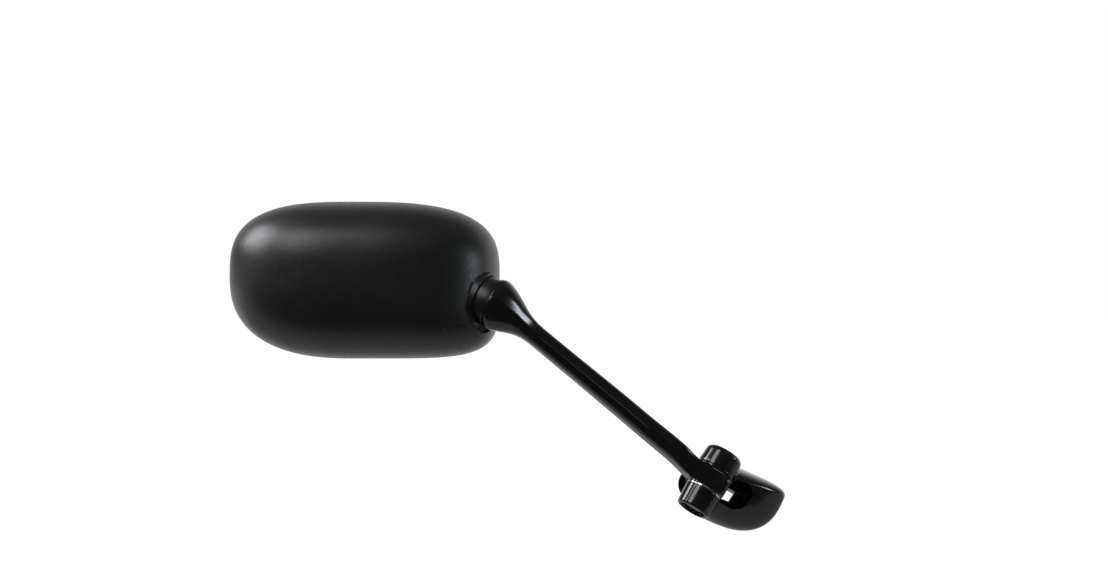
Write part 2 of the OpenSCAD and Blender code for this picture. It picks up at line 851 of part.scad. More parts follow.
// Boss outline in section: tapered, with a rounded outer rim
module boss_profile(r, length, rim_r) {
    end_r = r - length * tan(boss_draft);
    polygon(concat([[0, 0], [r, 0]],
        [for (i = [0 : 6])
            let(a = 90 * i / 6)
            [end_r - rim_r + rim_r * cos(a), length - rim_r + rim_r * sin(a)]],
        [[0, length]]));
}

module upper_boss() {
    in_pivot()
        translate([0, 0, ear_top])
            rotate_extrude()
                boss_profile(upper_boss_r, boss_top - ear_top, upper_boss_rim);
}

module lower_boss() {
    in_pivot()
        translate([0, 0, ear_bottom])
            mirror([0, 0, 1])
                rotate_extrude()
                    boss_profile(boss_r, boss_bottom + ear_bottom, lower_boss_rim);
}

// The swept room that the arm needs: a slot in the hood, widening away from the pivot
module arm_window() {
    low = -hub_bottom - 1.5;
    high = hub_top + 2.2;
    in_pivot()
        translate([0, 16, 0])
            rotate([90, 0, 0])
                linear_extrude(80)
                    offset(r = 4, $fn = 32)
                        offset(delta = -4)
                            polygon([[-30, low], [12, low], [22, low + 0.6], [28, low + 5], [29.8, high + 1],
                                [24, high + 4.4], [9, high + 0.6], [-30, high]]);
}

module mount_places() {
    for (s = [-1, 1])
        rotate([0, s > 0 ? 0 : 180, 0])
            translate([mount_spacing / 2, 0, 0])
                children();
}

module on_mount_line() {
    rotate([0, mount_slope, 0])
        children();
}

module flange() {
    difference() {
        on_mount_line()
            facing_front()
                linear_extrude(flange_t)
                    union() {
                        for (s = [-1, 1])
                            translate([s * mount_spacing / 2, 0])
                                circle(r = flange_r);
                        square([mount_spacing, 2 * flange_r], center = true);
                    }
        translate([0, 1, 0])
            facing_front()
                linear_extrude(flange_t + 2)
                    polygon(opening_corners);
    }
}

module mount_bosses() {
    on_mount_line()
        mount_places()
            facing_front()
                cylinder(r = mount_hole_r + mount_boss_wall, h = mount_hole_depth + mount_boss_floor);
}

module base_casting() {
    slab = 5;
    ear_from = -8;
    ear_w = 34;
    color([0.02, 0.02, 0.022])
        difference() {
            union() {
                difference() {
                    hood_dome(0, 0);
                    difference() {
                        hood_dome(hood_wall, 1);
                        in_pivot()
                            translate([ear_from, -through, ear_top])
                                cube([ear_w, 2 * through, slab]);
                        in_pivot()
                            translate([ear_from, -through, ear_bottom - slab])
                                cube([ear_w, 2 * through, slab]);
                    }
                    arm_window();
                }
                flange();
                mount_bosses();
                upper_boss();
                lower_boss();
            }
            in_pivot()
                translate([0, 0, ear_bottom])
                    cylinder(r = swing_r, h = ear_top - ear_bottom);
            in_pivot()
                translate([-through, -50, ear_bottom])
                    cube([through, 70, ear_top - ear_bottom]);
            in_pivot()
                translate([0, 0, ear_bottom - through])
                    cylinder(r = bush_neck_r + running_gap, h = through + 2);
            in_pivot()
                translate([0, 0, floor_bottom - through])
                    cylinder(r = pocket_r, h = through);
            in_pivot()
                translate([0, 0, ear_top - 1])
                    cylinder(r = bolt_r + touch, h = bolt_grip + 2.2);
            on_mount_line()
                mount_places()
                    translate([0, 1, 0])
                        facing_front()
                            cylinder(r = mount_hole_r, h = mount_hole_depth + 1);
        }
}

module pivot_bolt() {
    color([0.5, 0.5, 0.52])
        in_pivot() {
            translate([0, 0, head_top - bolt_head_t])
                cylinder(r = bolt_head_af / 2 / cos(30), h = bolt_head_t, $fn = 6);
            translate([0, 0, head_top - eps])
                cylinder(r = bolt_r, h = ear_top + bolt_grip - head_top);
        }
}

module pressure_bush() {
    color([0.6, 0.58, 0.5])
        in_pivot()
            difference() {
                union() {
                    translate([0, 0, floor_bottom - touch - bush_flange_t])
                        cylinder(r = pocket_r - 0.25, h = bush_flange_t);
                    translate([0, 0, floor_bottom - 0.5])
                        cylinder(r = bush_neck_r, h = thrust_at - touch - floor_bottom + 0.5);
                }
                translate([0, 0, floor_bottom - through / 2])
                    cylinder(r = bush_in_r, h = through);
            }
}

module disc_spring() {
    inner_r = bolt_r + 0.25;
    outer_r = pocket_r - pocket_play;
    rotate_extrude()
        polygon([[inner_r, disc_cone], [outer_r, 0], [outer_r, disc_t], [inner_r, disc_t + disc_cone]]);
}

module fold_spring() {
    color([0.45, 0.46, 0.48])
        in_pivot()
            for (i = [0 : spring_discs - 1])
                translate([0, 0, spring_top - (i + 1) * disc_pitch])
                    if (i % 2 == 0)
                        disc_spring();
                    else
                        translate([0, 0, disc_step])
                            mirror([0, 0, 1])
                                disc_spring();
}

module spring_washer() {
    color([0.6, 0.6, 0.62])
        in_pivot()
            translate([0, 0, head_top + touch])
                pierced_disc(pocket_r - pocket_play, bolt_r + 0.2, flat_washer_t);
}

housing_shell();
mirror_glass();
adhesive_pad();
backing_plate();
backing_screws();
neck_seal();
neck_sleeve();
front_seat();
rear_seat();
seat_spring();
spring_cap();
cap_screws();
ball_stud();
arm();
hub_bush();
upper_washer();
thrust_washer();
base_casting();
pivot_bolt();
pressure_bush();
fold_spring();
spring_washer();
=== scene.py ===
"""Looks of the folding motorcycle mirror, built round its packed construction."""

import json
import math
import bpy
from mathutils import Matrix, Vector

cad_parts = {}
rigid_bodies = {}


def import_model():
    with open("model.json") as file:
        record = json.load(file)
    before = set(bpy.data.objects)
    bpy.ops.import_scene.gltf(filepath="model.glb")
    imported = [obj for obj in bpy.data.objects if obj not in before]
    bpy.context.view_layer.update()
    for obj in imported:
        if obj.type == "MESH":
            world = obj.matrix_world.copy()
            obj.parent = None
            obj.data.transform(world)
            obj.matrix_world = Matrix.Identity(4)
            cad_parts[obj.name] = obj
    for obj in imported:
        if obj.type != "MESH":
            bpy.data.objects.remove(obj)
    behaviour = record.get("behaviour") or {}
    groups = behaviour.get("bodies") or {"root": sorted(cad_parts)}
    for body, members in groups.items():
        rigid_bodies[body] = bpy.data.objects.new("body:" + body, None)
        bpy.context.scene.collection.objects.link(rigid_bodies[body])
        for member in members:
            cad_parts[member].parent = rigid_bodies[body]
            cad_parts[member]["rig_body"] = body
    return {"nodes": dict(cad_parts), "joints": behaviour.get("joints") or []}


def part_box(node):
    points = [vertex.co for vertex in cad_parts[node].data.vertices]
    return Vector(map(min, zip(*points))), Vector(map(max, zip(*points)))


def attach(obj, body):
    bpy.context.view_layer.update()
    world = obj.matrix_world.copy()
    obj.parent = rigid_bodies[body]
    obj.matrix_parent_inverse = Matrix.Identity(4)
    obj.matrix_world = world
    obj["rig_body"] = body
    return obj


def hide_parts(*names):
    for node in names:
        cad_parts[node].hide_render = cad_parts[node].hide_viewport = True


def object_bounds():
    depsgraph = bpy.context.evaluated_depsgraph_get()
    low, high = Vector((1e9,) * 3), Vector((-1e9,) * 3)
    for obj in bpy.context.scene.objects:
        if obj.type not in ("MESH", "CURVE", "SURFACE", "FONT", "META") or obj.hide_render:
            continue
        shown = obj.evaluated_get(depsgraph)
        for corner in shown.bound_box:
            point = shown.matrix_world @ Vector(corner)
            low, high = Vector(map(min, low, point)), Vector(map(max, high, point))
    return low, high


bl_info = {
    "name": "Folding Motorcycle Mirror",
    "version": (1, 0, 0),
    "blender": (4, 5, 0),
    "location": "View3D > Sidebar > Mirror",
    "description": "Dresses the folding mirror's head, neck, arm, pivot and base, and sets its stage",
    "category": "Object",
}

import bpy
from bpy.props import FloatProperty, FloatVectorProperty, PointerProperty
from mathutils import Vector
from mathutils.bvhtree import BVHTree

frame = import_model()
CAD_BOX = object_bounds()

JOINTS = {j["name"]: j for j in frame["joints"]}
PIVOT = Vector(JOINTS["arm_fold"]["pos_m"])
FOLD_AXIS = Vector(JOINTS["arm_fold"]["axis"]).normalized()
BALL = Vector(JOINTS["head_tilt"]["pos_m"])
NECK_AXIS = Vector(JOINTS["head_tilt"]["axis"]).normalized()
MM = 0.001

# The head's outline: its reach right, left, up and down, and how square its corners are, upper right, upper
# left, lower left and lower right
HEAD_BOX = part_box("housing_shell")
HEAD_REACH = [r * MM for r in (94.4, 80.4, 48, 54)]
HEAD_CORNERS = (3, 2.95, 2.5, 5.2)
HEAD_CROWN = 2.8
HEAD_PLACE = Vector((HEAD_BOX[0].x + HEAD_REACH[1], HEAD_BOX[1].y, HEAD_BOX[1].z - HEAD_REACH[2]))
HEAD_DEPTH = HEAD_BOX[1].y - HEAD_BOX[0].y
# The faint land below the neck: its corner and its level top from the head's place, the direction across its
# slanting side, the width of its edges and the height of its step
LAND_CORNER = Vector((57.5 * MM, 0, -29.5 * MM))
LAND_TOP = -29.2 * MM
LAND_SLANT = Vector((0.88, 0, 0.475)).normalized()
LAND_EDGE = 0.7 * MM
LAND_STEP = 0.3 * MM
# The pivot bosses: where each ends along the fold axis, its radius, its length and the radius of its rim
UPPER_BOSS = (22 * MM, 13.5 * MM, 15.2 * MM, 3.5 * MM)
LOWER_BOSS = (-22.4 * MM, 12.4 * MM, 14.41 * MM, 1.4 * MM)
BOSS_TAPER = math.tan(math.radians(3.5))
# The part of the arm's flare that is smoothed, measured from the ball along the neck, and how it fades out
FLARE_FROM, FLARE_TO = 17 * MM, 48 * MM
FLARE_FADE_IN, FLARE_FADE_OUT = 5 * MM, 8 * MM
FLARE_PASSES = 24
# How near to a smooth form a corner has to lie to be drawn onto it, and how much it has to face the same way
DRAW_REACH = 0.35 * MM
DRAW_ALONG = 0.9
# Angle from which the housing's edges are held, which is less than the castings'
HOUSING_SHARP = math.radians(20)
# Rearward share of a normal that marks the base's machined back
FLAT_BACK = 0.9999
# Degrees from which an edge is shaded sharp on the castings, the housing, the glass and the washer
CASTING_SHADING, HOUSING_SHADING, GLASS_SHADING, WASHER_SHADING = 50, 26, 12, 30
# Distance within which corners are welded, and bend within which faces are one flat
WELD = 0.01 * MM
FLAT_WITHIN = math.radians(0.02)
# Most bend and skew of a quad that two triangles are paired into
PAIR_BEND, PAIR_SKEW = math.radians(30), math.radians(60)
# Width of the bright washer's broken edge
WASHER_EDGE = 0.15 * MM
# Tool marks to the metre on bare metal
TOOL_MARKS = 900
# The part of a noise's range that most of it lies in
NOISE_LOW, NOISE_HIGH = 0.3, 0.7
# The floor's width, how white it looks, how white its near part is in reflections, and the share of that in its
# surface. Its far part is as white in reflections, from a distance behind its front edge and over a stretch
FLOOR_SIZE = 24
FLOOR_WHITE, FLOOR_NEAR, FLOOR_SHARE = 1.15, 0.3, 0.85
FLOOR_FAR_FROM, FLOOR_FAR_OVER = 0.3, 0.9
# The studio in reflections: white behind the object, dim before it and overhead, and how each part sets in
BEHIND = Vector((0.26, 0.96, 0.05)).normalized()
BEHIND_FROM, BEHIND_OVER = 0.35, 0.6
ABOVE_FROM, ABOVE_OVER = 0.1, 0.9
FRONT_LEVEL, CEILING_LEVEL = 0.03, 0.12
# How strongly the studio's walls light the object
DIFFUSE_LEVEL = 0.6
# The lamps: what each is aimed at and its place from there, its size, its power in watts and its colour
LAMPS = {
    "key_lamp": (HEAD_PLACE, (-1.3, 0, 0.95), (1.2, 0.9), 36, (0.97, 0.97, 1)),
    "fill_lamp": (HEAD_PLACE, (-0.6, -1.05, 1.1), (0.6, 1), 11, (1, 1, 1)),
    "side_lamp": (BALL, (1.5, -0.2, 0.15), (0.16, 0.35), 3.5, (0.85, 0.92, 1)),
}


class MirrorSizes(bpy.types.PropertyGroup):
    """Sizes that the looks add to the construction."""

    sharp_from: FloatProperty(
        name="Sharp From", description="Smallest angle of an edge that the castings and the sleeve keep",
        default=math.radians(34), min=math.radians(20), max=math.radians(60), subtype="ANGLE", unit="ROTATION")
    edge_hold: FloatProperty(
        name="Edge Hold", description="How firmly the edges of the housing, sleeve and arm are held",
        default=0.88, min=0.5, max=1, subtype="FACTOR")
    glass_edge: FloatProperty(
        name="Glass Edge", description="Width of the mirror glass's ground edge",
        default=0.4 * MM, min=0.1 * MM, max=0.8 * MM, subtype="DISTANCE", unit="LENGTH")


class MirrorFinish(bpy.types.PropertyGroup):
    """Colours and surface detail of the finishes."""

    plastic_colour: FloatVectorProperty(
        name="Housing Plastic", description="Colour of the moulded head",
        default=(0.0055, 0.006, 0.006), min=0, max=1, subtype="COLOR")
    paint_colour: FloatVectorProperty(
        name="Casting Paint", description="Colour of the gloss paint on the arm and the base",
        default=(0.004, 0.0044, 0.0044), min=0, max=1, subtype="COLOR")
    steel_colour: FloatVectorProperty(
        name="Bright Steel", description="Colour of the thrust washer",
        default=(0.78, 0.79, 0.81), min=0, max=1, subtype="COLOR")
    grain_size: FloatProperty(
        name="Grain Size", description="Width of one grain of the plastic's texture",
        default=0.8 * MM, min=0.1 * MM, max=2 * MM, subtype="DISTANCE", unit="LENGTH")
    peel_size: FloatProperty(
        name="Orange Peel", description="Width of one ripple in the gloss paint",
        default=3 * MM, min=1 * MM, max=8 * MM, subtype="DISTANCE", unit="LENGTH")


class MirrorStage(bpy.types.PropertyGroup):
    """Floor, lamps and camera."""

    camera_distance: FloatProperty(
        name="Camera Distance", description="From the camera to the plane that it is aimed at",
        default=1.7, min=0.5, max=5, subtype="DISTANCE", unit="LENGTH")
    view_width: FloatProperty(
        name="View Width", description="Width of the view at that plane",
        default=0.7235, min=0.3, max=2, subtype="DISTANCE", unit="LENGTH")
    aim: FloatVectorProperty(
        name="Aim", description="Point that the camera is aimed at",
        default=(-0.112, -0.027, 0.1365), subtype="XYZ", unit="LENGTH")
    floor_drop: FloatProperty(
        name="Floor Drop", description="How far the floor lies below the base",
        default=0.16, min=0.02, max=1, subtype="DISTANCE", unit="LENGTH")
    floor_front: FloatProperty(
        name="Floor Front", description="How far the floor reaches in front of the base",
        default=0.15, min=0.1, max=5, subtype="DISTANCE", unit="LENGTH")


def deselect():
    """Leave every object unselected, out of edit mode."""
    if bpy.context.object and bpy.context.object.mode != "OBJECT":
        bpy.ops.object.mode_set(mode="OBJECT")
    bpy.ops.object.select_all(action="DESELECT")


def pick(piece):
    """Select one object alone and make it active."""
    deselect()
    piece.select_set(True)
    bpy.context.view_layer.objects.active = piece


def skin_of(node, name):
    """A new piece on a copy of a node's form, with its loose triangles merged into one skin."""
    piece = bpy.data.objects.new(name, frame["nodes"][node].data.copy())
    bpy.context.scene.collection.objects.link(piece)
    piece.data.materials.clear()
    pick(piece)
    bpy.ops.object.mode_set(mode="EDIT")
    bpy.ops.mesh.select_all(action="SELECT")
    bpy.ops.mesh.remove_doubles(threshold=WELD)
    bpy.ops.mesh.dissolve_limited(angle_limit=FLAT_WITHIN)
    bpy.ops.object.mode_set(mode="OBJECT")
    return piece


def apply_modifier(piece, kind, **settings):
    """Add one modifier, set it and apply it."""
    pick(piece)
    modifier = piece.modifiers.new(kind.title(), kind)
    for key, value in settings.items():
        setattr(modifier, key, value)
    bpy.ops.object.modifier_apply(modifier=modifier.name)


def outline_point(angle, reach, corners):
    """A point of a rounded outline with its own squareness in each corner."""
    c, s = math.cos(angle), math.sin(angle)
    power = 2 / corners[(0 if c >= 0 else 1) if s >= 0 else (3 if c >= 0 else 2)]
    x = math.copysign(abs(c) ** power, c) * reach[0 if c >= 0 else 1]
    z = math.copysign(abs(s) ** power, s) * reach[2 if s >= 0 else 3]
    return x, z


def dome_form(reach, corners, crown, depth, place):
    """A smooth dome over a rounded outline, drawn out from a fine sphere; it is only measured against."""
    deselect()
    bpy.ops.mesh.primitive_uv_sphere_add(segments=256, ring_count=128, radius=1)
    form = bpy.context.object
    bpy.ops.object.mode_set(mode="EDIT")
    bpy.ops.mesh.select_all(action="SELECT")
    bpy.ops.mesh.bisect(plane_co=(0, 0, 0), plane_no=(0, 0, 1), clear_inner=True)
    bpy.ops.object.mode_set(mode="OBJECT")
    for vert in form.data.vertices:
        rise = math.asin(min(1, max(0, vert.co.z)))
        x, z = outline_point(math.atan2(vert.co.y, vert.co.x), reach, corners)
        k = math.cos(rise) ** (2 / crown)
        y = -depth * math.sin(rise) ** (2 / crown)
        vert.co = place + Vector((x * k, y, z * k))
    form.data.update()
    return form


def boss_form(end, radius, length, rim):
    """A smooth tapered boss on the fold axis, out to its rounded end; it is only measured against."""
    out = FOLD_AXIS * math.copysign(1, end)
    deselect()
    bpy.ops.mesh.primitive_cone_add(vertices=256, radius1=radius, radius2=radius - length * BOSS_TAPER,
                                    depth=length, location=PIVOT + out * (abs(end) - length / 2),
                                    rotation=out.to_track_quat("Z", "Y").to_euler())
    form = bpy.context.object
    bpy.ops.object.transform_apply(location=True, rotation=True, scale=True)
    apply_modifier(form, "BEVEL", width=rim, segments=16, limit_method="ANGLE")
    return form


def draw_onto(piece, form):
    """Move the piece's faces that lie close along a smooth form onto it, and remove the form."""
    tree = BVHTree.FromObject(form, bpy.context.evaluated_depsgraph_get())
    near = piece.vertex_groups.new(name="near")
    for vert in piece.data.vertices:
        spot, normal = tree.find_nearest(vert.co, DRAW_REACH)[:2]
        if spot and abs(normal.dot(vert.normal)) > DRAW_ALONG:
            near.add([vert.index], 1, "REPLACE")
    apply_modifier(piece, "SHRINKWRAP", target=form, vertex_group="near", wrap_method="NEAREST_SURFACEPOINT")
    piece.vertex_groups.remove(piece.vertex_groups["near"])
    bpy.data.objects.remove(form)


def along_flare(spot):
    """How much a spot of the arm belongs to its flare, fading out at both ends."""
    away = (spot - BALL).dot(NECK_AXIS)
    return min(1, max(0, min((away - FLARE_FROM) / FLARE_FADE_IN, (FLARE_TO - away) / FLARE_FADE_OUT)))


def smooth_between(piece, name, weight_at, times):
    """Smooth the part of a piece that a weight function marks."""
    marked = piece.vertex_groups.new(name=name)
    for vert in piece.data.vertices:
        weight = weight_at(vert.co)
        if weight > 0:
            marked.add([vert.index], weight, "REPLACE")
    apply_modifier(piece, "SMOOTH", factor=0.5, iterations=times, vertex_group=name)
    piece.vertex_groups.remove(piece.vertex_groups[name])


def round_form(piece, sharp_from, hold, levels=2):
    """Pair a copy's triangles, hold its sharp edges and subdivide the rest into a smooth skin."""
    pick(piece)
    bpy.ops.object.mode_set(mode="EDIT")
    bpy.ops.mesh.select_all(action="SELECT")
    bpy.ops.mesh.quads_convert_to_tris(quad_method="BEAUTY", ngon_method="BEAUTY")
    bpy.ops.mesh.tris_convert_to_quads(face_threshold=PAIR_BEND, shape_threshold=PAIR_SKEW)
    bpy.ops.mesh.select_mode(type="EDGE")
    bpy.ops.mesh.select_all(action="DESELECT")
    bpy.ops.mesh.edges_select_sharp(sharpness=sharp_from)
    bpy.ops.transform.edge_crease(value=hold)
    bpy.ops.mesh.select_mode(type="VERT")
    bpy.ops.object.mode_set(mode="OBJECT")
    apply_modifier(piece, "SUBSURF", levels=levels, render_levels=levels)


def smooth_shading(piece, degrees):
    """Shade smooth, with edges sharper than the angle kept."""
    pick(piece)
    bpy.ops.object.shade_smooth_by_angle(angle=math.radians(degrees))


def finish_piece(piece, material, node):
    """Give a new piece its material, its body and the node that it stands for."""
    piece.data.materials.clear()
    piece.data.materials.append(material)
    body = frame["nodes"][node]["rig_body"]
    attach(piece, body)
    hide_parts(node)


def shader(name):
    """A new node material, its tree, its principled shader and its Object coordinates."""
    material = bpy.data.materials.new(name)
    material.use_nodes = True
    tree = material.node_tree
    bsdf = tree.nodes["Principled BSDF"]
    coords = tree.nodes.new("ShaderNodeTexCoord")
    return material, tree, bsdf, coords.outputs["Object"]


def noise(tree, vector, scale, detail=3, roughness=0.5):
    """A noise texture's value on the given coordinates."""
    node = tree.nodes.new("ShaderNodeTexNoise")
    tree.links.new(vector, node.inputs["Vector"])
    node.inputs["Scale"].default_value = scale
    node.inputs["Detail"].default_value = detail
    node.inputs["Roughness"].default_value = roughness
    return node.outputs["Fac"]


def spread(tree, value, low, high, socket):
    """Map a noise to a range and link it to a socket."""
    node = tree.nodes.new("ShaderNodeMapRange")
    node.inputs["From Min"].default_value = NOISE_LOW
    node.inputs["From Max"].default_value = NOISE_HIGH
    node.inputs["To Min"].default_value = low
    node.inputs["To Max"].default_value = high
    tree.links.new(value, node.inputs["Value"])
    tree.links.new(node.outputs["Result"], socket)


def tint(tree, value, colour, low, high, socket):
    """Vary a colour's depth with a value and link it to a socket."""
    node = tree.nodes.new("ShaderNodeMix")
    node.data_type = "RGBA"
    node.inputs["A"].default_value = [c * low for c in colour] + [1]
    node.inputs["B"].default_value = [c * high for c in colour] + [1]
    tree.links.new(value, node.inputs["Factor"])
    tree.links.new(node.outputs["Result"], socket)


def bump(tree, height, distance, strength, bsdf, before=None):
    """Add a bump to the shader, on top of an earlier one where it is given."""
    node = tree.nodes.new("ShaderNodeBump")
    node.inputs["Distance"].default_value = distance
    node.inputs["Strength"].default_value = strength
    tree.links.new(height, node.inputs["Height"])
    if before:
        tree.links.new(before, node.inputs["Normal"])
    tree.links.new(node.outputs["Normal"], bsdf.inputs["Normal"])
    return node.outputs["Normal"]


def step(tree, vector, normal, start, width):
    """A smooth step from 0 to 1 across a plane, from its distance along the normal."""
    dot = tree.nodes.new("ShaderNodeVectorMath")
    dot.operation = "DOT_PRODUCT"
    dot.inputs[1].default_value = normal
    tree.links.new(vector, dot.inputs[0])
    ramp = tree.nodes.new("ShaderNodeMapRange")
    ramp.interpolation_type = "SMOOTHERSTEP"
    ramp.inputs["From Min"].default_value = start
    ramp.inputs["From Max"].default_value = start + width
    tree.links.new(dot.outputs["Value"], ramp.inputs["Value"])
    return ramp.outputs["Result"]


def maths(tree, operation, a, b):
    """One value combined with another, or with a number."""
    node = tree.nodes.new("ShaderNodeMath")
    node.operation = operation
    tree.links.new(a, node.inputs[0])
    if isinstance(b, float):
        node.inputs[1].default_value = b
    else:
        tree.links.new(b, node.inputs[1])
    return node.outputs[0]


def grained_plastic(name, colour, rough, grain, depth):
    """Moulded plastic with a fine spark-eroded grain and a faint unevenness of gloss."""
    material, tree, bsdf, place = shader(name)
    tint(tree, noise(tree, place, 60, 2), colour, 0.8, 1.25, bsdf.inputs["Base Color"])
    spread(tree, noise(tree, place, 0.35 / grain), rough - 0.04, rough + 0.04, bsdf.inputs["Roughness"])
    grained = bump(tree, noise(tree, place, 1 / grain, 2, 0.6), depth, 0.5, bsdf)
    return material, tree, bsdf, place, grained


def moulded_land(tree, bsdf, place, before):
    """The land below the neck: a low step in the moulding, under a level edge and right of a slanting one."""
    below = step(tree, place, (0, 0, -1), -(HEAD_PLACE.z + LAND_TOP), LAND_EDGE)
    beside = step(tree, place, LAND_SLANT, LAND_SLANT.dot(HEAD_PLACE + LAND_CORNER), LAND_EDGE)
    bump(tree, maths(tree, "MULTIPLY", below, beside), LAND_STEP, 1, bsdf, before)


def gloss_paint(name, colour, peel):
    """Gloss paint over a casting, with a little orange peel."""
    material, tree, bsdf, place = shader(name)
    tint(tree, noise(tree, place, 40, 2), colour, 0.8, 1.2, bsdf.inputs["Base Color"])
    spread(tree, noise(tree, place, 0.2 / peel, 0), 0.14, 0.2, bsdf.inputs["Roughness"])
    bump(tree, noise(tree, place, 1 / peel, 1), 0.03 * MM, 0.3, bsdf)
    return material


def metal(name, colour, rough):
    """Bare metal with fine tool marks."""
    material, tree, bsdf, place = shader(name)
    bsdf.inputs["Metallic"].default_value = 1
    marks = noise(tree, place, TOOL_MARKS, 4, 0.6)
    tint(tree, marks, colour, 0.88, 1.06, bsdf.inputs["Base Color"])
    spread(tree, marks, rough - 0.05, rough + 0.08, bsdf.inputs["Roughness"])
    bump(tree, marks, 0.01 * MM, 0.3, bsdf)
    return material


def turned_metal(name, colour, rough, centre, axis):
    """Metal turned on a lathe, with rings round an axis."""
    material, tree, bsdf, place = shader(name)
    bsdf.inputs["Metallic"].default_value = 1
    turn = tree.nodes.new("ShaderNodeMapping")
    to_axis = axis.to_track_quat("Z", "Y").inverted()
    turn.vector_type = "POINT"
    turn.inputs["Rotation"].default_value = to_axis.to_euler()
    turn.inputs["Location"].default_value = -(to_axis @ centre)
    tree.links.new(place, turn.inputs["Vector"])
    rings = tree.nodes.new("ShaderNodeTexWave")
    rings.wave_type = "RINGS"
    rings.rings_direction = "Z"
    rings.inputs["Scale"].default_value = TOOL_MARKS
    rings.inputs["Distortion"].default_value = 1.5
    tree.links.new(turn.outputs["Vector"], rings.inputs["Vector"])
    bsdf.inputs["Base Color"].default_value = [*colour, 1]
    spread(tree, rings.outputs["Fac"], rough - 0.04, rough + 0.08, bsdf.inputs["Roughness"])
    bump(tree, rings.outputs["Fac"], 0.01 * MM, 0.4, bsdf)
    return material


def silvered_glass(name):
    """Convex mirror glass, silvered behind, with a faint cool tint."""
    material, tree, bsdf, place = shader(name)
    bsdf.inputs["Metallic"].default_value = 1
    tint(tree, noise(tree, place, 8, 1), (0.72, 0.76, 0.8), 0.97, 1.03, bsdf.inputs["Base Color"])
    bsdf.inputs["Roughness"].default_value = 0.02
    bsdf.inputs["Coat Weight"].default_value = 1
    bsdf.inputs["Coat Roughness"].default_value = 0.01
    return material


def plain_plastic(name, colour, rough):
    """An inner moulding or rubber with a faint mottle."""
    material, tree, bsdf, place = shader(name)
    mottle = noise(tree, place, 500, 3)
    tint(tree, mottle, colour, 0.85, 1.15, bsdf.inputs["Base Color"])
    spread(tree, mottle, rough - 0.06, rough + 0.06, bsdf.inputs["Roughness"])
    bump(tree, mottle, 0.02 * MM, 0.3, bsdf)
    return material


def give(material, *nodes):
    """Put a material on nodes that keep their own form."""
    for node in nodes:
        data = frame["nodes"][node].data
        data.materials.clear()
        data.materials.append(material)


class MIRROR_OT_housing(bpy.types.Operator):
    """Model the moulded housing's skin and give it its grain."""

    bl_idname = "mirror.housing"
    bl_label = "Housing"

    def execute(self, context):
        sizes, finish = context.scene.mirror_sizes, context.scene.mirror_finish
        skin = skin_of("housing_shell", "housing")
        round_form(skin, HOUSING_SHARP, sizes.edge_hold)
        draw_onto(skin, dome_form(HEAD_REACH, HEAD_CORNERS, HEAD_CROWN, HEAD_DEPTH, HEAD_PLACE))
        smooth_shading(skin, HOUSING_SHADING)
        plastic, *land = grained_plastic("grained_black_plastic", finish.plastic_colour, 0.41,
                                         finish.grain_size, 0.06 * MM)
        moulded_land(*land)
        finish_piece(skin, plastic, "housing_shell")
        return {"FINISHED"}


class MIRROR_OT_glass(bpy.types.Operator):
    """Model the convex glass with its ground edge, and finish what backs it."""

    bl_idname = "mirror.glass"
    bl_label = "Mirror Glass"

    def execute(self, context):
        sizes = context.scene.mirror_sizes
        glass = skin_of("mirror_glass", "convex_glass")
        apply_modifier(glass, "BEVEL", width=sizes.glass_edge, segments=2, limit_method="ANGLE",
                       angle_limit=math.radians(50))
        smooth_shading(glass, GLASS_SHADING)
        apply_modifier(glass, "WEIGHTED_NORMAL", keep_sharp=True)
        finish_piece(glass, silvered_glass("silvered_glass"), "mirror_glass")
        give(plain_plastic("foam_tape", (0.03, 0.03, 0.03), 0.85), "adhesive_pad")
        give(plain_plastic("inner_black_plastic", (0.02, 0.02, 0.02), 0.55), "backing_plate")
        return {"FINISHED"}


class MIRROR_OT_neck(bpy.types.Operator):
    """Finish the sleeve, the seal and the ball joint inside them."""

    bl_idname = "mirror.neck"
    bl_label = "Neck"

    def execute(self, context):
        sizes, finish = context.scene.mirror_sizes, context.scene.mirror_finish
        sleeve = skin_of("neck_sleeve", "sleeve")
        round_form(sleeve, sizes.sharp_from, sizes.edge_hold, 1)
        smooth_shading(sleeve, CASTING_SHADING)
        plastic = grained_plastic("satin_sleeve_plastic", finish.plastic_colour, 0.36,
                                  1.6 * finish.grain_size, 0.012 * MM)[0]
        finish_piece(sleeve, plastic, "neck_sleeve")
        give(plain_plastic("seal_rubber", (0.012, 0.012, 0.012), 0.7), "neck_seal")
        give(plain_plastic("white_nylon", (0.62, 0.61, 0.56), 0.4), "front_seat", "rear_seat", "upper_washer")
        give(metal("spring_wire", (0.42, 0.43, 0.45), 0.34), "seat_spring", "fold_spring")
        give(metal("zinc_plate", (0.6, 0.6, 0.58), 0.3), "spring_cap", "cap_screws", "backing_screws",
             "ball_stud", "pressure_bush", "spring_washer", "pivot_bolt")
        return {"FINISHED"}


class MIRROR_OT_castings(bpy.types.Operator):
    """Model the painted arm and the painted base."""

    bl_idname = "mirror.castings"
    bl_label = "Arm and Base"

    def execute(self, context):
        sizes, finish = context.scene.mirror_sizes, context.scene.mirror_finish
        paint = gloss_paint("gloss_black_paint", finish.paint_colour, finish.peel_size)
        arm = skin_of("arm", "painted_arm")
        base = skin_of("base_casting", "painted_base")
        round_form(arm, sizes.sharp_from, sizes.edge_hold)
        smooth_between(arm, "flare", along_flare, FLARE_PASSES)
        smooth_shading(arm, CASTING_SHADING)
        finish_piece(arm, paint, "arm")
        # Edges that are held fully keep the base's flat faces flat
        round_form(base, sizes.sharp_from, 1)
        for boss in (UPPER_BOSS, LOWER_BOSS):
            draw_onto(base, boss_form(*boss))
        smooth_shading(base, CASTING_SHADING)
        finish_piece(base, paint, "base_casting")
        for face in base.data.polygons:
            if face.normal.y > FLAT_BACK:
                face.use_smooth = False
        return {"FINISHED"}


